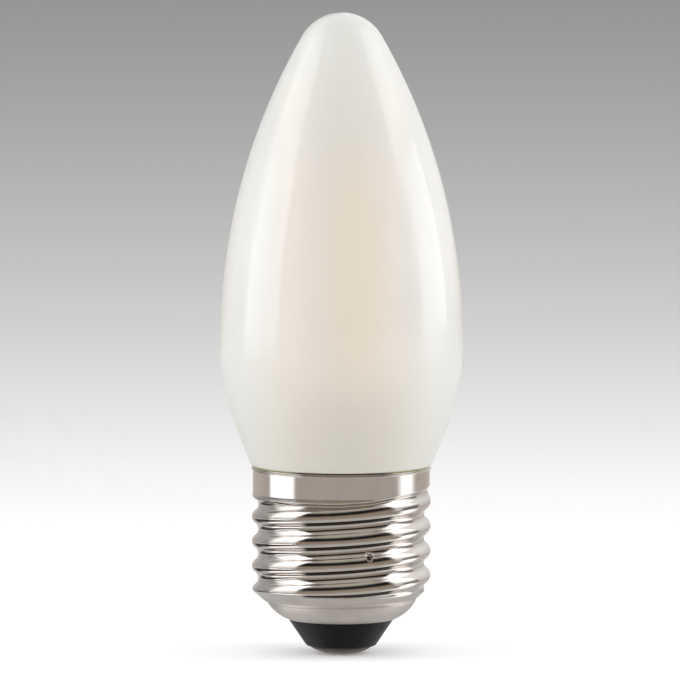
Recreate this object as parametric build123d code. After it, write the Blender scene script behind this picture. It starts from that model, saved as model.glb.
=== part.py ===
from build123d import *
import math
import os

# Candle bulb on a 27 mm lamp screw cap (E27). Millimetres, +Z up the bulb's axis,
# origin at the centre of the contact's end. Seen from the front, +X is to the right and -Y is nearest.

# Glass bulb
overall_length = 94.3     # end of the centre contact to the tip of the glass
bulb_d = 35.6             # widest part of the glass
tip_r = 6.7               # round of the closed tip
flare_angle = 21.4        # slope of the lower cone of the glass, from the axis
belly_blend = 0.57        # part of that cone's slant taken up by the round into the belly
lip_overhang = 0.32       # how far the glass stands out past the collar
lip_round = 0.4           # round on the lower edge of the glass
neck_depth = 8.0          # glass neck inside the cap, below the collar's rim

# Screw shell
cap_height = 27.65        # end of the contact to the collar's rim
crest_d = 26.2            # over the collar and the thread's crests
thread_pitch = 3.629
thread_depth = 1.096
crest_flat = 0.95         # width left at full height between two grooves
root_flat = 0.95          # width of the groove's floor
sheet = 0.3               # formed sheet
collar_rise = 2.15        # rim down to where the groove runs out
runout_turns = 0.75       # part of a turn over which the groove fades into the collar
runout_angle = 150.0      # where the groove ends, counted from +X towards the back
rim_bevel = 0.12          # broken outer edge of the rim
shoulder_w = 2.15         # how far the shell draws in under the last turn of thread
shoulder_h = 2.45
shoulder_bulge = 0.45     # height of the shoulder's curve over its chord
skirt_h = 0.3             # short plain band under the shoulder
skirt_taper = 0.08        # how much that band narrows downwards
dome_h = 2.45             # domed lower end of the shell
dome_bulge = 0.3          # height of the dome's curve over its chord
dimple_d = 1.1            # punched mark low in the groove near the front
dimple_depth = 0.2
dimple_angle = -72.0      # its place round the thread, from +X
dimple_turn = 2           # whole turns counted down from the topmost groove at that place
dimple_drop = 0.5         # how far below the groove's middle it lies

# Insulator and contact
mouth_d = 15.75           # hole in the shell's lower end, filled by the insulator
insulator_ledge = 0.08    # the cone starts this far inside the mouth's edge
insulator_h = 4.0         # height of the cone below the shell
insulator_seat = 0.2      # insulator reaches this far up the plain band
insulator_end_d = 10.15   # cone's lower end
insulator_round = 0.4
contact_h = 1.1           # contact below the insulator
contact_d = 9.1           # contact's edge
contact_flat_d = 4.8      # flat end of the contact
contact_edge = 0.15       # straight edge of the contact
contact_bulge = 0.12      # height of the contact's curve over its chord
stem_d = 3.0              # eyelet through the insulator
stem_h = 3.2

# Cement
seam_h = 0.15             # cement showing between the rim and the glass
seam_inset = 0.2          # it lies this far inside the collar's face
cement_t = 0.6            # cement between the neck and the shell
cement_depth = 6.5        # cement below the rim

# Radii
crest_r = crest_d / 2
root_r = crest_r - thread_depth
pocket_r = crest_r - sheet
bore_r = root_r - sheet
neck_r = bore_r - cement_t
skirt_top_r = crest_r - shoulder_w
skirt_low_r = skirt_top_r - skirt_taper
mouth_r = mouth_d / 2

# Heights
mouth_z = contact_h + insulator_h
dome_z = mouth_z + dome_h
skirt_z = dome_z + skirt_h
shoulder_z = skirt_z + shoulder_h
groove_top_z = cap_height - collar_rise
runout_z = groove_top_z - runout_turns * thread_pitch
groove_low_z = skirt_z - thread_pitch / 2
pocket_z = groove_top_z + root_flat / 2
bore_z = pocket_z - (pocket_r - bore_r)
underside_z = cap_height + seam_h


def turned(outline):
    """Solid of revolution about the bulb's axis from a closed outline of radius and height."""
    return revolve(Plane.XZ * make_face(outline), Axis.Z)


def bulged(start, end, bulge):
    """Arc from start to end that stands off its chord by bulge, to the right of the way taken."""
    run, rise = end[0] - start[0], end[1] - start[1]
    chord = math.hypot(run, rise)
    middle = ((start[0] + end[0]) / 2 + rise / chord * bulge, (start[1] + end[1]) / 2 - run / chord * bulge)
    return ThreePointArc(start, middle, end)


# Glass: round tip, long arc to the belly, round belly, straight cone, rounded lip, neck inside the cap
belly_r = bulb_d / 2
slope = math.radians(flare_angle)
lip_r = crest_r + lip_overhang
lip_c = (lip_r - lip_round * math.cos(slope), underside_z + lip_round)
lip_z = lip_c[1] - lip_round * math.sin(slope)
cone_slant = (belly_r - lip_r) / math.sin(slope)
belly_t = belly_blend * cone_slant
belly_z = lip_z + (belly_r - lip_r) / math.tan(slope) + belly_t
belly_low = (belly_r - belly_t * math.sin(slope), belly_z - belly_t - belly_t * math.cos(slope))
belly_curve = belly_t / math.tan(slope / 2)
tip_z = overall_length - tip_r
tip_h = tip_z - belly_z
flank_r = (belly_r**2 + tip_h**2 - tip_r**2) / (2 * (belly_r - tip_r))
tip_turn = math.degrees(math.atan2(tip_h, flank_r - belly_r))
neck_z = cap_height - neck_depth

glass_bulb = turned([
    CenterArc((0, tip_z), tip_r, tip_turn, 90 - tip_turn),
    CenterArc((belly_r - flank_r, belly_z), flank_r, 0, tip_turn),
    CenterArc((belly_r - belly_curve, belly_z), belly_curve, -flare_angle, flare_angle),
    Line(belly_low, (lip_r, lip_z)),
    CenterArc(lip_c, lip_round, -90, 90 - flare_angle),
    Polyline(
        (lip_c[0], underside_z),
        (neck_r, underside_z),
        (neck_r, neck_z),
        (0, neck_z),
        (0, overall_length),
    ),
])

# Screw shell: turned blank with its collar, shoulder, plain band and dome
dome_in_r = skirt_low_r - sheet
blank = turned([
    Polyline(
        (pocket_r, cap_height),
        (crest_r - rim_bevel, cap_height),
        (crest_r, cap_height - rim_bevel),
        (crest_r, shoulder_z),
    ),
    bulged((crest_r, shoulder_z), (skirt_top_r, skirt_z), -shoulder_bulge),
    Line((skirt_top_r, skirt_z), (skirt_low_r, dome_z)),
    bulged((skirt_low_r, dome_z), (mouth_r, mouth_z), -dome_bulge),
    Polyline(
        (mouth_r, mouth_z),
        (mouth_r, mouth_z + sheet),
        (dome_in_r, dome_z),
        (dome_in_r + skirt_taper, skirt_z),
        (bore_r, shoulder_z),
        (bore_r, bore_z),
        (pocket_r, pocket_z),
        (pocket_r, cap_height),
    ),
])

# Thread: one groove of straight-sided section along a helix that rises to the right, cut from the blank.
# It runs out below through the shoulder, and above on a widening helix that lifts it out of the collar.
flank_run = (thread_pitch - crest_flat - root_flat) / 2
groove_out = thread_depth / 2
mouth_half = root_flat / 2 + flank_run * (1 + groove_out / thread_depth)
section = Plane.XZ * make_face(Polyline(
    (root_r, -root_flat / 2),
    (root_r, root_flat / 2),
    (crest_r + groove_out, mouth_half),
    (crest_r + groove_out, -mouth_half),
    close=True,
))
groove_h = runout_z - groove_low_z
runout_h = groove_top_z - runout_z
lift = math.degrees(math.atan(thread_depth / runout_h))
groove_turn = 360 * groove_h / thread_pitch
full_run = Edge.make_helix(thread_pitch, groove_h, root_r)
fading_run = Edge.make_helix(thread_pitch, runout_h, root_r, angle=lift)
fading_run = Pos(0, 0, groove_h) * Rot(0, 0, groove_turn) * fading_run
groove = sweep(section, path=Wire([full_run, fading_run]), is_frenet=True)
groove_start = runout_angle - 360 * runout_turns - groove_turn
groove = Pos(0, 0, groove_low_z) * Rot(0, 0, groove_start) * groove

# Punched mark: a ball's imprint on the groove's lower side
turns_back = ((runout_angle - dimple_angle) % 360) / 360
dimple_z = groove_top_z - (turns_back + dimple_turn) * thread_pitch - dimple_drop
ball_r = (dimple_d**2 / 4 + dimple_depth**2) / (2 * dimple_depth)
dimple = Rot(0, 0, dimple_angle) * Pos(root_r - dimple_depth + ball_r, 0, dimple_z) * Sphere(ball_r)
screw_shell = blank - groove - dimple

# Cement: sleeve between neck and shell, filling the collar, with the line that shows under the glass
cement_z = cap_height - cement_depth
cement_ring = turned(Polyline(
    (neck_r, cement_z),
    (bore_r, cement_z),
    (bore_r, bore_z),
    (pocket_r, pocket_z),
    (pocket_r, cap_height),
    (crest_r - seam_inset, cap_height),
    (crest_r - seam_inset, underside_z),
    (neck_r, underside_z),
    close=True,
))

# Insulator: cone below the shell, moulded up into the dome, with a hole for the eyelet
stem_r = stem_d / 2
cone_top_r = mouth_r - insulator_ledge
cone_low_r = insulator_end_d / 2
cone_slope = math.atan2(cone_top_r - cone_low_r, insulator_h)
round_t = insulator_round * math.tan((math.pi / 2 - cone_slope) / 2)
round_c = (cone_low_r - round_t, contact_h + insulator_round)
round_end = (cone_low_r + round_t * math.sin(cone_slope), contact_h + round_t * math.cos(cone_slope))
seat_r = dome_in_r + skirt_taper * insulator_seat / skirt_h
seat_z = dome_z + insulator_seat
insulator = turned([
    Line((stem_r, contact_h), (round_c[0], contact_h)),
    CenterArc(round_c, insulator_round, -90, 90 - math.degrees(cone_slope)),
    Polyline(
        round_end,
        (cone_top_r, mouth_z),
        (mouth_r, mouth_z),
        (mouth_r, mouth_z + sheet),
        (dome_in_r, dome_z),
        (seat_r, seat_z),
        (stem_r, seat_z),
        (stem_r, contact_h),
    ),
])

# Centre contact: shallow dome with a flat end, its eyelet up in the insulator
contact_r = contact_d / 2
flat_r = contact_flat_d / 2
stem_z = contact_h + stem_h
centre_contact = turned([
    Line((0, 0), (flat_r, 0)),
    bulged((flat_r, 0), (contact_r, contact_h - contact_edge), contact_bulge),
    Polyline(
        (contact_r, contact_h - contact_edge),
        (contact_r, contact_h),
        (stem_r, contact_h),
        (stem_r, stem_z),
        (0, stem_z),
        (0, 0),
    ),
])

os.makedirs("parts", exist_ok=True)
export_step(glass_bulb, "parts/glass_bulb.step")
export_step(cement_ring, "parts/cement_ring.step")
export_step(screw_shell, "parts/screw_shell.step")
export_step(insulator, "parts/insulator.step")
export_step(centre_contact, "parts/centre_contact.step")
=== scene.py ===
import math

import bpy
import numpy as np
from mathutils import Matrix, Vector


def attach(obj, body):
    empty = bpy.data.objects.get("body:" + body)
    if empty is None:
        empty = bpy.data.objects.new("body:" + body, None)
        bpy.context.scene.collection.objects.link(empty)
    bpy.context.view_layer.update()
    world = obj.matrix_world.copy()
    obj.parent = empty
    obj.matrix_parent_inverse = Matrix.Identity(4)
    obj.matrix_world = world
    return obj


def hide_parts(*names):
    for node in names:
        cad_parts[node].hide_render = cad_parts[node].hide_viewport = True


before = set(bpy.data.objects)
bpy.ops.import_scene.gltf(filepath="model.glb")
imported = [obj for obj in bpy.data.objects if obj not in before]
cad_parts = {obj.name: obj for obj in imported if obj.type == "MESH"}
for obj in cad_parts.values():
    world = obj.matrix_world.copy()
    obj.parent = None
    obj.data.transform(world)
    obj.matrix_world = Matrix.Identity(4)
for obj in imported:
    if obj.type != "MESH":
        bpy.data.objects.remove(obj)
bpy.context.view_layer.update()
MM = 0.001

# Glass, in millimetres as in the solids
LENGTH, BELLY_R, TIP_R = 94.3, 17.79, 6.7
FLARE, BLEND = 21.4, 0.57                     # slope of the lower cone, and the part of it rounded into the belly
UNDERSIDE, LIP_R, LIP_ROUND = 27.8, 13.42, 0.4
NECK_R, NECK_Z, NECK_ROUND = 11.1, 19.65, 0.3

# Screw shell
CAP_H, CREST_R, COLLAR_R, SHEET = 27.65, 13.1, 12.97, 0.3
POCKET_R, BORE_R = 12.8, 11.7                 # inside of the collar and of the thread
SKIRT_Z, SKIRT_R, DOME_Z, DOME_R = 7.72, 10.94, 7.55, 10.87
MOUTH_Z, MOUTH_R, DOME_IN_R = 5.1, 7.875, 10.57
MOUTH_ROUND, RIM_ROUND, RIM_STEP = 0.08, 0.18, 0.5
DRAW_Z, DRAW_H = 22.5, 1.5                    # crests draw in to the collar from here, over this height
SHOULDER_Z, SHOULDER_SLOPE, CORNER = 8.0, 1.15, 0.3
SUNK_LEFT, RAISED_FRONT, FRONT_EDGE = 0.5, 0.27, 0.6    # the shoulder's height varies round the cap
SKIRT_STEP, SKIRT_SLOPE = 0.06, 0.05

# Thread, with angles in degrees from +X
PITCH, WAVE_R = 3.629, 1.1                    # arcs of one radius make the wave's hollow and its crest
GROOVE_TOP, GROOVE_END, TILT = 25.48, 150, 0.25    # the groove lies higher at the right by TILT
FADE_START, FADE_TURN = 60, 220               # the groove fades in back from its end
FRONT, LEAN, LEAN_FULL, LEAN_NONE = 270, 0.40, 34, 66    # the wave leans within these angles off the front
# Height of the collar's lower edge, by angle back from the groove's end
BRINK_BACK = (0, 60, 150, 191, 203, 221, 240, 281, 330, 360)
BRINK_Z = (25.8, 25.7, 24.9, 24.4, 24.15, 23.65, 23.4, 23.35, 23.3, 23.8)
BRINK_SOFT = 0.7

# Punched mark in the thread
MARK_ANGLE, MARK_Z, MARK_AT_R = 289, 15.5, 12.2
MARK_R, MARK_DEPTH, MARK_LIP, MARK_LIP_R, MARK_LIP_W = 0.55, 0.24, 0.03, 0.62, 0.07

# Cement, insulator and contact
CEMENT_LOW, CEMENT_STEP, CEMENT_TOP, CEMENT_GAP = 21.15, 24.8, 25.98, 0.02
CONTACT_H, STEM_R, STEM_Z = 1.1, 1.5, 4.3
CONE_ROUND_R, CONE_ROUND, CONE_LOW, CONE_TOP_R = 4.86, 0.4, (5.21, 1.30), 7.795
SEAT_R, SEAT_Z = 10.6, 7.7
FLAT_R, FLAT_EDGE, CONTACT_EDGE, CONTACT_ROUND_R = 2.2, (2.7, 0.1), (4.51, 0.93), 4.45


def arc(cx, cz, r, start, end, n):
    """Points on a circle from one angle to another, in degrees."""
    a = np.radians(np.linspace(start, end, n))
    return np.stack([cx + r * np.cos(a), cz + r * np.sin(a)], 1)


def line(p, q, n):
    """Points from p to q."""
    return np.linspace(p, q, n)


def bulged(p, q, bulge, n):
    """Points on the arc from p to q that stands off its chord by bulge, to the right of the way taken."""
    p, q = np.array(p, float), np.array(q, float)
    chord = np.linalg.norm(q - p)
    side = np.array([q[1] - p[1], p[0] - q[0]]) / chord
    t = np.linspace(-1, 1, n)
    radius = (chord**2 / 4 + bulge**2) / (2 * bulge)
    off = np.sqrt(radius**2 - (t * chord / 2) ** 2) - (radius - bulge)
    return (p + q) / 2 + np.outer(t / 2, q - p) + np.outer(off, side)


def outline(*runs):
    """One outline of radius and height from runs that meet, without doubled points."""
    points = [np.array(runs[0][0], float)]
    for p in np.vstack(runs)[1:]:
        if np.hypot(*(p - points[-1])) > 1e-3:
            points.append(p)
    return np.array(points)


def turns(n):
    """Angles evenly round the axis."""
    return np.linspace(0, 2 * math.pi, n, endpoint=False)


def turned(points, angles):
    """Grid of rings, in millimetres, from an outline of radius and height."""
    r, z = points[:, :1], points[:, 1:]
    return np.stack([r * np.cos(angles), r * np.sin(angles), z + 0 * angles], 2)


def smooth(t):
    """Smooth step from 0 to 1."""
    t = np.clip(t, 0, 1)
    return t * t * (3 - 2 * t)


def least(a, b, soft):
    """The smaller of two values, rounded over where they cross."""
    h = np.clip(0.5 + (b - a) / (2 * soft), 0, 1)
    return b * (1 - h) + a * h - soft * h * (1 - h)


def skin(name, grid, node, loop=False):
    """Piece from a grid of rings, from its low end up the outside. A ring of no radius becomes one point."""
    rings, cols = grid.shape[:2]
    faces, index, verts = [], np.zeros((rings, cols), int), []
    for i in range(rings):
        pole = np.hypot(grid[i, :, 0], grid[i, :, 1]).max() < 1e-6
        index[i] = len(verts) + (0 if pole else np.arange(cols))
        verts.extend(grid[i, :1] if pole else grid[i])
    for i in range(rings if loop else rings - 1):
        a, b = index[i], index[(i + 1) % rings]
        ring = np.stack([a, np.roll(a, -1), np.roll(b, -1), b], 1)
        faces.extend(tuple(dict.fromkeys(f)) for f in ring.tolist())
    mesh = bpy.data.meshes.new(name)
    mesh.from_pydata((np.array(verts) * MM).tolist(), [], faces)
    mesh.shade_smooth()
    piece = bpy.data.objects.new(name, mesh)
    bpy.context.scene.collection.objects.link(piece)
    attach(piece, "root")
    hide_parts(node)
    return piece


# Glass: neck, rounded lip, straight cone, belly, long flank and closed tip
slope = math.radians(FLARE)
lip_c = (LIP_R - LIP_ROUND * math.cos(slope), UNDERSIDE + LIP_ROUND)
lip_z = lip_c[1] - LIP_ROUND * math.sin(slope)
belly_t = BLEND * (BELLY_R - LIP_R) / math.sin(slope)
belly_z = lip_z + (BELLY_R - LIP_R) / math.tan(slope) + belly_t
belly_c = belly_t / math.tan(slope / 2)
belly_low = (BELLY_R - belly_t * math.sin(slope), belly_z - belly_t - belly_t * math.cos(slope))
tip_z = LENGTH - TIP_R
tip_h = tip_z - belly_z
flank_r = (BELLY_R**2 + tip_h**2 - TIP_R**2) / (2 * (BELLY_R - TIP_R))
tip_turn = math.degrees(math.atan2(tip_h, flank_r - BELLY_R))
glass_line = outline(
    line((0, NECK_Z), (NECK_R - NECK_ROUND, NECK_Z), 4),
    arc(NECK_R - NECK_ROUND, NECK_Z + NECK_ROUND, NECK_ROUND, -90, 0, 5),
    line((NECK_R, NECK_Z + NECK_ROUND), (NECK_R, UNDERSIDE), 6),
    line((NECK_R, UNDERSIDE), (lip_c[0], UNDERSIDE), 6),
    arc(*lip_c, LIP_ROUND, -90, -FLARE, 16),
    line((LIP_R, lip_z), belly_low, 24),
    arc(BELLY_R - belly_c, belly_z, belly_c, -FLARE, 0, 40),
    arc(BELLY_R - flank_r, belly_z, flank_r, 0, tip_turn, 100),
    arc(0, tip_z, TIP_R, tip_turn, 89.5, 34),
    [(0, LENGTH)],
)
glass = skin("opal_glass_bulb", turned(glass_line, turns(240)), "glass_bulb")


def groove_depth(off):
    """Depth of the thread at a height off its groove's middle: two tangent arcs, hollow then round."""
    u = np.abs(off)
    wave_rise = math.sqrt((2 * WAVE_R) ** 2 - (PITCH / 2) ** 2)
    hollow = WAVE_R - wave_rise + np.sqrt(np.maximum(WAVE_R**2 - u**2, 0))
    crest = WAVE_R - np.sqrt(np.maximum(WAVE_R**2 - (PITCH / 2 - u) ** 2, 0))
    return np.where(u < PITCH / 4, hollow, crest)


def thread_radius(angle, z):
    """Radius of the shell's outside at an angle and height above the plain band."""
    back = (GROOVE_END - np.degrees(angle)) % 360
    top = GROOVE_TOP - PITCH * back / 360 + TILT * np.cos(angle)
    turn = np.round((z - top) / PITCH)
    off = z - top - turn * PITCH
    lean = smooth((LEAN_NONE - np.abs(np.degrees(angle) - FRONT)) / (LEAN_NONE - LEAN_FULL))
    off = off - LEAN * lean * np.cos(math.pi * off / PITCH) ** 2
    fade = np.where(turn > 0, 0, smooth((back - 360 * turn - FADE_START) / FADE_TURN))
    brink = smooth((np.interp(back, BRINK_BACK, BRINK_Z) - z) / BRINK_SOFT)
    fade = fade * np.where(turn < 0, 1, brink)
    r = CREST_R - (CREST_R - COLLAR_R) * smooth((z - DRAW_Z) / DRAW_H) - fade * groove_depth(off)
    sunk = SUNK_LEFT * ((1 - np.cos(angle)) / 2) ** 1.5 - RAISED_FRONT * smooth(-np.sin(angle) / FRONT_EDGE)
    cone = SKIRT_R + SKIRT_STEP + SHOULDER_SLOPE * (z - SHOULDER_Z + sunk)
    shoulder = -least(-cone, -SKIRT_R - SKIRT_SLOPE * (z - SKIRT_Z), CORNER)
    return least(r, shoulder, CORNER)


# Screw shell: dome, shoulder, round thread that fades out under the collar, and the rim. Finer at the mark
fine = np.arange(MARK_ANGLE - 6, MARK_ANGLE + 6, 0.25)
angles = np.radians(np.unique(np.round(np.r_[np.arange(0, 360, 2), fine], 4)))
heights = np.r_[
    np.linspace(SKIRT_Z, MARK_Z - 0.7, 98),
    np.linspace(MARK_Z - 0.66, MARK_Z + 0.66, 44),
    np.linspace(MARK_Z + 0.7, CAP_H - RIM_STEP, 146),
]
ring_r = thread_radius(angles[None, :], heights[:, None])
gone = np.hypot((angles[None, :] - math.radians(MARK_ANGLE)) * MARK_AT_R, heights[:, None] - MARK_Z)
ring_r -= MARK_DEPTH * np.clip(1 - (gone / MARK_R) ** 2, 0, 1)
ring_r += MARK_LIP * np.exp(-(((gone - MARK_LIP_R) / MARK_LIP_W) ** 2))
threaded = np.stack([ring_r * np.cos(angles), ring_r * np.sin(angles), heights[:, None] + 0 * ring_r], 2)
lower_line = outline(
    line((DOME_IN_R, DOME_Z), (MOUTH_R, MOUTH_Z + SHEET), 6),
    line((MOUTH_R, MOUTH_Z + SHEET), (MOUTH_R, MOUTH_Z + MOUTH_ROUND), 3),
    arc(MOUTH_R + MOUTH_ROUND, MOUTH_Z + MOUTH_ROUND, MOUTH_ROUND, 180, 290, 5),
    bulged((MOUTH_R + 0.12, MOUTH_Z + 0.02), (DOME_R - 0.02, DOME_Z - 0.02), 0.3, 30),
    bulged((DOME_R, DOME_Z), (SKIRT_R - 0.01, SKIRT_Z - 0.05), 0.02, 6),
)
rim_line = outline(
    bulged((COLLAR_R - 0.005, CAP_H - 0.46), (COLLAR_R - 0.015, CAP_H - 0.31), -0.025, 8),
    arc(POCKET_R, CAP_H - RIM_ROUND, RIM_ROUND, -38, 90, 14),
    line((POCKET_R, CAP_H), (POCKET_R, CAP_H - 1.3), 3),
)
shell_grid = np.concatenate([turned(lower_line, angles), threaded, turned(rim_line, angles)])
shell = skin("nickel_screw_shell", shell_grid, "screw_shell")

# Cement: sleeve in the collar, squeezed out unevenly under the glass and more at the two sides
ring_angles = turns(360)
waves = ((5, 0.4), (9, 2.1), (17, 4.0), (31, 1.3), (57, 5.2))
ripple = sum(np.sin(count * ring_angles + phase) / count for count, phase in waves)
squeezed = np.clip(0.15 + 1.1 * np.abs(np.cos(ring_angles)) ** 4 + 0.4 * ripple, 0, 1)
collar_in = POCKET_R - CEMENT_GAP
bead = []
for s in squeezed:
    climb = math.radians(60) * s
    start = (collar_in + 0.12 * s, CAP_H - 0.06 * s)
    end = (lip_c[0] + LIP_ROUND * math.sin(climb) - 0.3 * (1 - s), lip_c[1] - LIP_ROUND * math.cos(climb))
    bead.append(outline(
        line((NECK_R, CEMENT_LOW), (BORE_R, CEMENT_LOW), 3),
        line((BORE_R, CEMENT_LOW), (BORE_R, CEMENT_STEP), 3),
        line((BORE_R, CEMENT_STEP), (collar_in, CEMENT_TOP), 3),
        line((collar_in, CEMENT_TOP), start, 3),
        bulged(start, end, 0.03, 12),
        line(end, (lip_c[0] - 0.4, UNDERSIDE), 3),
        line((lip_c[0] - 0.4, UNDERSIDE), (NECK_R, UNDERSIDE), 3),
        line((NECK_R, UNDERSIDE), (NECK_R, CEMENT_LOW + 0.15), 4),
    ))
bead = np.array(bead).transpose(1, 0, 2)
bead_r, bead_z = bead[..., 0], bead[..., 1]
cement_grid = np.stack([bead_r * np.cos(ring_angles), bead_r * np.sin(ring_angles), bead_z], 2)
cement = skin("cement_bead", cement_grid, "cement_ring", loop=True)

# Insulator: moulded cone with a rounded lower corner
insulator_line = outline(
    line((STEM_R, CONTACT_H), (CONE_ROUND_R - 0.01, CONTACT_H), 6),
    arc(CONE_ROUND_R, CONTACT_H + CONE_ROUND, CONE_ROUND, -90, -34, 10),
    line(CONE_LOW, (CONE_TOP_R, MOUTH_Z), 24),
    line((CONE_TOP_R, MOUTH_Z), (MOUTH_R, MOUTH_Z + 0.02), 3),
    line((MOUTH_R, MOUTH_Z + 0.02), (MOUTH_R, MOUTH_Z + SHEET), 3),
    line((MOUTH_R, MOUTH_Z + SHEET), (DOME_IN_R, DOME_Z), 6),
    line((DOME_IN_R, DOME_Z), (SEAT_R, SEAT_Z), 2),
    line((SEAT_R, SEAT_Z), (STEM_R, SEAT_Z), 6),
    line((STEM_R, SEAT_Z), (STEM_R, CONTACT_H + 0.1), 5),
)
insulator_grid = turned(insulator_line, turns(180))
insulator = skin("black_insulator", insulator_grid, "insulator", loop=True)

# Centre contact: shallow dome with a flat end
contact_line = outline(
    line((0, 0), (FLAT_R, 0), 8),
    bulged((FLAT_R, 0), FLAT_EDGE, 0.02, 6),
    bulged(FLAT_EDGE, CONTACT_EDGE, 0.1, 20),
    arc(CONTACT_ROUND_R, CONTACT_H - 0.1, 0.1, -40, 90, 7),
    line((CONTACT_ROUND_R, CONTACT_H), (STEM_R, CONTACT_H), 4),
    line((STEM_R, CONTACT_H), (STEM_R, STEM_Z), 4),
    line((STEM_R, STEM_Z), (0, STEM_Z), 3),
)
contact = skin("domed_contact", turned(contact_line, turns(144)), "centre_contact")


def material(name, **values):
    """Node material with its shader's plain values set."""
    mat = bpy.data.materials.new(name)
    mat.use_nodes = True
    shader = mat.node_tree.nodes["Principled BSDF"]
    for key, value in values.items():
        shader.inputs[key.replace("_", " ")].default_value = value
    return mat.node_tree, shader, mat


def node(tree, kind, inputs=(), **settings):
    """New node with its settings, and inputs linked or set by name or number."""
    made = tree.nodes.new(kind)
    for key, value in settings.items():
        setattr(made, key, value)
    for key, value in dict(inputs).items():
        if isinstance(value, bpy.types.NodeSocket):
            tree.links.new(value, made.inputs[key])
        else:
            made.inputs[key].default_value = value
    return made


def maths(tree, operation, *values):
    return node(tree, "ShaderNodeMath", dict(enumerate(values)), operation=operation).outputs[0]


def span(tree, value, a, b, c, d):
    """Value mapped smoothly from a..b to c..d."""
    inputs = {"Value": value, "From Min": a, "From Max": b, "To Min": c, "To Max": d}
    return node(tree, "ShaderNodeMapRange", inputs, interpolation_type="SMOOTHSTEP").outputs[0]


def edges(tree, value, a, b, soft):
    """One between a and b, falling to nothing at both over a soft width."""
    rise, fall = span(tree, value, a, a + soft, 0, 1), span(tree, value, b - soft, b, 1, 0)
    return maths(tree, "MULTIPLY", rise, fall)


def ramp(tree, fac, stops):
    """Colour ramp through (place, colour) stops."""
    made = node(tree, "ShaderNodeValToRGB", {"Fac": fac})
    band = made.color_ramp
    while len(band.elements) < len(stops):
        band.elements.new(0.5)
    for element, (position, colour) in zip(band.elements, stops):
        element.position = position
        element.color = (*colour, 1)
    return made.outputs["Color"]


def blend(tree, fac, a, b, mode="MIX"):
    """Colour a mixed with colour b."""
    made = node(tree, "ShaderNodeMix", {0: fac, 6: a, 7: b}, data_type="RGBA", blend_type=mode)
    return made.outputs[2]


def noise(tree, vector, scale, detail=3.0, rough=0.55):
    inputs = {"Vector": vector, "Scale": scale, "Detail": detail, "Roughness": rough}
    return node(tree, "ShaderNodeTexNoise", inputs).outputs["Fac"]


def bump(tree, socket, height, strength, distance):
    made = node(tree, "ShaderNodeBump", {"Height": height, "Strength": strength, "Distance": distance})
    tree.links.new(made.outputs[0], socket)


def place(tree, kind="Object"):
    """Coordinates of one kind."""
    return node(tree, "ShaderNodeTexCoord").outputs[kind]


def split(tree, vector):
    """A vector's three parts."""
    return node(tree, "ShaderNodeSeparateXYZ", {"Vector": vector}).outputs.values()


def bearing(tree, x, y):
    """Angle round the axis from the front, in radians, to the right positive."""
    return maths(tree, "ARCTAN2", x, maths(tree, "MULTIPLY", y, -1.0))


# Opal glass: warm white, yellower where a light strip lies behind the front. Painted shade darkens it towards the
# lip and greys the cooler tip. Across x it stays warm in the middle, with a painted-shade band to each side and
# whiter, cooler flanks as painted light from the side boxes
tree, bsdf, mat = material("opal glass", Coat_Roughness=0.02, Coat_IOR=1.5, Specular_IOR_Level=0.1)
bsdf.inputs["Subsurface Weight"].default_value = 0.2
bsdf.inputs["Subsurface Radius"].default_value = (1.0, 0.95, 0.85)
bsdf.inputs["Subsurface Scale"].default_value = 0.003
coords = place(tree)
x, y, z = split(tree, coords)
# Painted shade by height: darker and greener towards the lip, a little greyer at the tip
upwards = span(tree, z, 0.027, 0.095, 0, 1)
body = ramp(tree, upwards, [
    (0.0, (0.69, 0.655, 0.575)),
    (0.05, (0.72, 0.68, 0.60)),
    (0.15, (0.80, 0.745, 0.665)),
    (0.30, (0.825, 0.765, 0.695)),
    (0.50, (0.82, 0.762, 0.69)),
    (0.75, (0.81, 0.765, 0.70)),
    (1.0, (0.78, 0.77, 0.73)),
])
sides = ramp(tree, upwards, [
    (0.0, (0.715, 0.71, 0.68)),
    (0.28, (0.755, 0.745, 0.715)),
    (0.45, (0.79, 0.775, 0.74)),
    (1.0, (0.79, 0.78, 0.75)),
])
# Painted light and shade across x: a darker band each side of the middle, then whiter, cooler flanks as painted
# light from the side boxes
off_middle = maths(tree, "ABSOLUTE", x)
shaded = maths(tree, "MULTIPLY", span(tree, off_middle, 0.0075, 0.0105, 0, 0.8), span(tree, z, 0.042, 0.058, 0, 1))
body = blend(tree, shaded, body, blend(tree, 0.08, sides, (0, 0, 0, 1)))
body = blend(tree, span(tree, off_middle, 0.006, 0.0155, 0, 1), body, sides)
off_strip = maths(tree, "ABSOLUTE", maths(tree, "SUBTRACT", bearing(tree, x, y), 0.13))
strip = span(tree, off_strip, 0.0, 0.40, 1, 0)
strip = maths(tree, "MULTIPLY", strip, span(tree, z, 0.036, 0.054, 0, 1))
strip = maths(tree, "MULTIPLY", strip, span(tree, z, 0.062, 0.082, 0.6, 0))
body = blend(tree, strip, body, (0.86, 0.76, 0.58, 1))
cloud = ramp(tree, noise(tree, coords, 140, 4), [(0.3, (0.965, 0.965, 0.96)), (0.7, (1, 1, 1))])
tree.links.new(blend(tree, 0.6, body, cloud, "MULTIPLY"), bsdf.inputs["Base Color"])
tree.links.new(span(tree, noise(tree, coords, 900, 2), 0.3, 0.7, 0.40, 0.50), bsdf.inputs["Roughness"])
tree.links.new(span(tree, z, 0.041, 0.051, 0.1, 1), bsdf.inputs["Coat Weight"])
bump(tree, bsdf.inputs["Coat Normal"], noise(tree, coords, 60, 2), 0.10, 0.0006)
glass.data.materials.append(mat)


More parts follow.
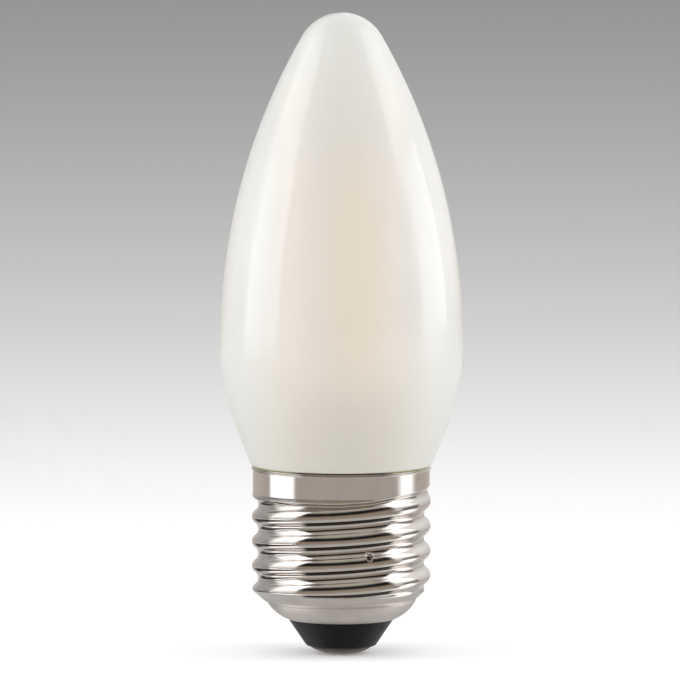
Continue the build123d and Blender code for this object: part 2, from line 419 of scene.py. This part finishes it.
def nickel(name, colour, low, high, formed=False):
    """Plated sheet: hazy patches, fine marks round the axis and slight pitting. The formed shell also has painted
    dark reflection lines under its thread's crests at the front, and a satin lower end."""
    tree, bsdf, mat = material(name, Metallic=1.0)
    coords = place(tree)
    x, y, z = split(tree, coords)
    patch = noise(tree, coords, 260, 5, 0.6)
    angle = maths(tree, "MULTIPLY", maths(tree, "ARCTAN2", x, y), 0.004)
    rolled = node(tree, "ShaderNodeCombineXYZ", {"X": angle, "Y": z}).outputs[0]
    marks = noise(tree, rolled, 5200, 3, 0.7)
    pits = noise(tree, coords, 2600, 2)
    tone = ramp(tree, patch, [(0.32, tuple(c * 0.88 for c in colour)), (0.62, colour)])
    haze = maths(tree, "ADD", span(tree, patch, 0.3, 0.7, low, high), span(tree, marks, 0.5, 0.8, 0, 0.05))
    if formed:
        # Painted reflection: near-black, non-metal lines on the steep undersides of the front crests, where the
        # thread mirrors dark surroundings
        facing_up = split(tree, place(tree, "Normal"))[2]
        painted_dark_lines = maths(tree, "MULTIPLY", span(tree, facing_up, -0.66, -0.52, 1, 0),
                     edges(tree, z, 0.0092, 0.0226, 0.0004))
        painted_dark_lines = maths(tree, "MULTIPLY", painted_dark_lines, edges(tree, bearing(tree, x, y), -0.50, 0.68, 0.1))
        tone = blend(tree, painted_dark_lines, tone, (0.012, 0.010, 0.009, 1))
        tree.links.new(maths(tree, "SUBTRACT", 1.0, painted_dark_lines), bsdf.inputs["Metallic"])
        bsdf.inputs["Specular IOR Level"].default_value = 0.1
        haze = maths(tree, "ADD", haze, span(tree, z, 0.0078, 0.0094, 0.34, 0))
    tree.links.new(tone, bsdf.inputs["Base Color"])
    tree.links.new(haze, bsdf.inputs["Roughness"])
    relief = maths(tree, "ADD", maths(tree, "MULTIPLY", marks, 0.4), maths(tree, "MULTIPLY", pits, 0.3))
    bump(tree, bsdf.inputs["Normal"], relief, 0.08, 0.00006)
    return mat


shell.data.materials.append(nickel("nickelled sheet", (0.69, 0.64, 0.60), 0.09, 0.14, formed=True))
# Contact: its very dark brown colour, far darker than the metal itself, is painted shade for the bulb's underside
contact.data.materials.append(nickel("dull contact nickel", (0.10, 0.068, 0.058), 0.28, 0.42))

# Cement: dry olive paste at the two sides; at the front and back painted shade darkens it to a near-black seam, as
# in a shadowed gap
tree, bsdf, mat = material("olive cement", Roughness=0.7)
coords = place(tree)
grain = noise(tree, coords, 1500, 5, 0.65)
tone = ramp(tree, grain, [(0.3, (0.30, 0.30, 0.11)), (0.55, (0.48, 0.47, 0.22)), (0.75, (0.62, 0.61, 0.36))])
off_middle = maths(tree, "ABSOLUTE", split(tree, coords)[0])
# Painted shade: near-black where the seam faces front and back
painted_gap_shade = span(tree, off_middle, 0.0055, 0.0085, 1, 0)
tree.links.new(blend(tree, painted_gap_shade, tone, (0.015, 0.013, 0.008, 1)), bsdf.inputs["Base Color"])
bump(tree, bsdf.inputs["Normal"], grain, 0.5, 0.0001)
cement.data.materials.append(mat)

# Insulator: black moulding, semi-gloss with faint flow marks
tree, bsdf, mat = material("black insulator", Specular_IOR_Level=0.15)
coords = place(tree)
flow = noise(tree, coords, 420, 4)
tone = ramp(tree, flow, [(0.3, (0.004, 0.004, 0.004)), (0.7, (0.008, 0.0075, 0.0075))])
tree.links.new(tone, bsdf.inputs["Base Color"])
tree.links.new(span(tree, flow, 0.3, 0.7, 0.28, 0.42), bsdf.inputs["Roughness"])
bump(tree, bsdf.inputs["Normal"], noise(tree, coords, 1800, 2), 0.12, 0.00005)
insulator.data.materials.append(mat)


def stage(name, points, faces, mat):
    """Floor or board, no part of the bulb."""
    mesh = bpy.data.meshes.new(name)
    mesh.from_pydata(points, [], faces)
    mesh.materials.append(mat)
    made = bpy.data.objects.new(name, mesh)
    bpy.context.scene.collection.objects.link(made)
    return made


# Floor: plain and pale, with painted shade that dulls it far out and a painted glow near the bulb that only camera
# rays see
FLOOR_R, FLOOR_Z, FLOOR_SIDES = 4, -0.00003, 96
FLOOR_TONE, FLOOR_REACH = 0.95, 0.95
GLOW, GLOW_TIGHT = 0.2, 2.7
tree, bsdf, mat = material("pale floor", Roughness=0.9)
distance = node(tree, "ShaderNodeVectorMath", {0: place(tree)}, operation="LENGTH").outputs["Value"]
far = maths(tree, "DIVIDE", distance, FLOOR_REACH)
# Painted shade: the base colour falls off with distance from the bulb
fall = maths(tree, "DIVIDE", FLOOR_TONE, maths(tree, "ADD", maths(tree, "MULTIPLY", far, far), 1.0))
tree.links.new(fall, bsdf.inputs["Base Color"])
# Painted light: a glow for camera rays only, strongest near the bulb
near = maths(tree, "POWER", maths(tree, "MULTIPLY", far, GLOW_TIGHT), 2.0)
seen_direct = node(tree, "ShaderNodeLightPath").outputs["Is Camera Ray"]
glow = maths(tree, "DIVIDE", maths(tree, "MULTIPLY", seen_direct, GLOW), maths(tree, "ADD", near, 1.0))
bsdf.inputs["Emission Color"].default_value = (1, 1, 1, 1)
tree.links.new(glow, bsdf.inputs["Emission Strength"])
floor_edge = [(FLOOR_R * math.cos(a), FLOOR_R * math.sin(a), FLOOR_Z) for a in turns(FLOOR_SIDES)]
stage("floor", floor_edge, [tuple(range(FLOOR_SIDES))], mat).visible_glossy = False

# Strip boards beside the bulb, which only gloss and metal see
BOARD_R, BOARD_LOW, BOARD_HIGH, BOARD_LEVEL = 0.060, 0.0435, 0.095, 2.0
BOARD_SOFT, BOARD_FADE, BOARD_PANES = 0.03, 0.005, 24


def strip_board(name, a0, a1):
    """Upright board between two bearings from the front, to the right positive, faded at its edges."""
    bends = np.radians(np.linspace(a0, a1, BOARD_PANES + 1))
    points = [(BOARD_R * math.sin(t), -BOARD_R * math.cos(t), h) for t in bends for h in (BOARD_LOW, BOARD_HIGH)]
    mat = bpy.data.materials.new(name)
    mat.use_nodes = True
    tree = mat.node_tree
    tree.nodes.clear()
    x, y, z = split(tree, place(tree))
    across = edges(tree, bearing(tree, x, y), bends[0], bends[-1], BOARD_SOFT)
    shown = maths(tree, "MULTIPLY", across, edges(tree, z, BOARD_LOW, BOARD_HIGH, BOARD_FADE))
    white = (BOARD_LEVEL, BOARD_LEVEL, BOARD_LEVEL, 1)
    bright = node(tree, "ShaderNodeEmission", {"Color": white, "Strength": 1.0}).outputs[0]
    clear = node(tree, "ShaderNodeBsdfTransparent").outputs[0]
    shader = node(tree, "ShaderNodeMixShader", {0: shown, 1: clear, 2: bright}).outputs[0]
    node(tree, "ShaderNodeOutputMaterial", {0: shader})
    panes = [(2 * i, 2 * i + 1, 2 * i + 3, 2 * i + 2) for i in range(BOARD_PANES)]
    made = stage(name, points, panes, mat)
    made.visible_camera = made.visible_diffuse = made.visible_shadow = made.visible_transmission = False


strip_board("card_left_tall", -92, -53)
strip_board("card_right_tall", 72, 107)

# World: even and pale, with the studio's soft boxes, dark ceiling and grey front as gloss and metal see them
PLAIN = (0.62, 0.62, 0.62, 1)
world = bpy.data.worlds.new("surroundings")
bpy.context.scene.world = world
world.use_nodes = True
tree = world.node_tree
x, y, z = split(tree, place(tree, "Generated"))
heading = bearing(tree, x, y)
height = maths(tree, "ADD", maths(tree, "DIVIDE", maths(tree, "ARCSINE", z), math.pi), 0.5)


def up(elevation):
    """Elevation in degrees as a place on the ramps."""
    return (elevation + 90) / 180


def sky(*stops):
    """Colours, or greys, by elevation in degrees."""
    return ramp(tree, height, [(up(e), c if isinstance(c, tuple) else (c, c, c)) for e, c in stops])


def sector(below, a0, a1, soft, above):
    """Colours above laid over those below between two bearings from the front, to the right positive."""
    a0, a1, soft = math.radians(a0), math.radians(a1), math.radians(soft)
    in_it = span(tree, heading, a0 - soft, a0 + soft, 0, 1)
    out_of_it = span(tree, heading, a1 - soft, a1 + soft, 1, 0)
    return blend(tree, maths(tree, "MULTIPLY", in_it, out_of_it), below, above)


behind = sky((-60, 0.6), (-30, 0.62), (0, 0.58), (10, 0.54), (20, 0.45), (30, 0.55), (46, 1.0), (60, 0.5))
far_right = sky(
    (-60, 0.6), (-42, 0.65), (-26, 0.55), (-18, 0.66), (0, 0.74), (10, 0.84), (20, 0.98), (40, 1.15), (60, 0.7),
)
edge_left = sky(
    (-60, 0.6), (-32, 0.62), (-27, 0.45), (-23, 0.06), (-12, 0.06), (-10, 0.3), (0, 0.45), (10, 0.5),
    (20, 0.45), (30, 0.55), (46, 1.0), (60, 0.5),
)
far_left = sky(
    (-60, 0.6), (-48, 0.6), (-43, 1.5), (-38, 1.9), (-34, 1.8), (-31, 0.8), (-28, 0.05), (-11, 0.05), (-9, 0.28),
    (0, 0.36), (18, 0.42), (24, 0.6), (29, 1.0), (36, 1.3), (46, 1.2), (60, 0.5),
)
front = sky(
    (-85, (0.58, 0.54, 0.51)), (-60, (0.58, 0.56, 0.54)), (-30, (0.60, 0.61, 0.59)), (-20, (0.50, 0.50, 0.47)),
    (-12, (0.33, 0.30, 0.27)), (-2, (0.22, 0.18, 0.14)), (9, (0.42, 0.35, 0.29)), (16, (0.34, 0.28, 0.23)),
    (21, (0.14, 0.11, 0.09)), (25, 0.01), (37, 0.01), (41, 0.12), (47, (0.44, 0.41, 0.38)),
    (56, (0.56, 0.52, 0.44)), (74, (0.52, 0.52, 0.48)), (80, 0.1), (85, 0.01),
)
left = sky(
    (-70, 0.6), (-58, 0.7), (-52, 1.2), (-46, 1.9), (-35, 1.9), (-32, 0.9), (-29, 0.05), (-11, 0.05), (-1, 0.12),
    (4, 0.6), (8, 1.0), (14, 1.2), (20, 1.5), (24, 1.9), (40, 1.8), (48, 0.8), (63, 0.2),
)
right_in = sky(
    (-60, 0.6), (-50, 1.2), (-41, 1.3), (-26, 0.5), (-17, 0.25), (-12, 0.05), (-6, 0.05), (-2, 0.2), (2, 0.4),
    (10, 1.0), (16, 0.75), (21, 1.0), (26, 1.9), (50, 1.8), (63, 0.3),
)
right = sky(
    (-70, 0.6), (-47, 0.6), (-41, 1.6), (-14, 1.7), (-11, 1.35), (-6, 0.8), (-1, 0.45), (3, 0.16), (7, 0.13),
    (11, 0.25), (14, 0.75), (18, 0.78), (22, 1.3), (26, 1.9), (50, 1.8), (63, 0.3),
)
seen = behind
for a0, a1, soft, colours in (
    (118, 181, 3, far_right),
    (-154, -108, 4, edge_left),
    (-127, -108, 4, far_left),
    (-62, 83, 3, front),
    (-111, -64, 4, left),
    (74, 90, 4, right_in),
    (86, 120, 4, right),
):
    seen = sector(seen, a0, a1, soft, colours)

# Low band that the upright collar mirrors, with a soft box at each side
BAND_LOW, BAND_HIGH, BAND_SOFT = -10.5, -1.5, 1.5
BOX_LIGHT = (2.0, 2.1, 2.2, 1)
band = sector((0.58, 0.54, 0.51, 1), -64, 83, 2, (0.54, 0.50, 0.475, 1))
band = sector(band, -106, -65, 4, BOX_LIGHT)
band = sector(band, 84, 107, 8, BOX_LIGHT)
seen = blend(tree, edges(tree, height, up(BAND_LOW), up(BAND_HIGH), BAND_SOFT / 180), seen, band)
gloss = node(tree, "ShaderNodeLightPath").outputs["Is Glossy Ray"]
tree.links.new(blend(tree, gloss, PLAIN, seen), tree.nodes["Background"].inputs["Color"])

# Lamps, all turned to one point on the axis
LAMP_AIM = Vector((0, 0, 0.05))


def lamp(name, where, wide, tall, watts):
    """Soft lamp for plain surfaces. Gloss sees the boards and the world in its stead."""
    data = bpy.data.lights.new(name, "AREA")
    data.shape, data.size, data.size_y, data.energy = "RECTANGLE", wide, tall, watts
    made = bpy.data.objects.new(name, data)
    made.location = where
    made.rotation_euler = (LAMP_AIM - Vector(where)).to_track_quat("-Z", "Y").to_euler()
    made.visible_camera = made.visible_glossy = False
    bpy.context.scene.collection.objects.link(made)


lamp("left lamp", (-0.38, -0.06, 0.22), 0.25, 0.40, 0.85)
lamp("right lamp", (0.38, -0.02, 0.22), 0.25, 0.40, 0.85)
lamp("front lamp", (0.0, -0.75, 0.60), 0.6, 0.4, 1.1)

# Camera: long lens, a little above the bulb's middle
rise, roll = math.radians(5.9), math.radians(0.1)
reach, width, sensor = 3.0, 0.0997, 36
aim = Vector((-0.00022, 0, 0.04612))
away = Vector((0, -math.cos(rise), math.sin(rise)))
camera = bpy.data.objects.new("camera", bpy.data.cameras.new("camera"))
bpy.context.scene.collection.objects.link(camera)
bpy.context.scene.camera = camera
camera.location = aim + away * reach
tilt = Matrix.Rotation(math.pi / 2 - rise, 3, "X") @ Matrix.Rotation(roll, 3, "Z")
camera.rotation_euler = tilt.to_euler()
camera.data.sensor_width = sensor
camera.data.lens = sensor * reach / width
camera.data.clip_start, camera.data.clip_end = 0.01, 50

bpy.context.scene.view_settings.view_transform = "Standard"
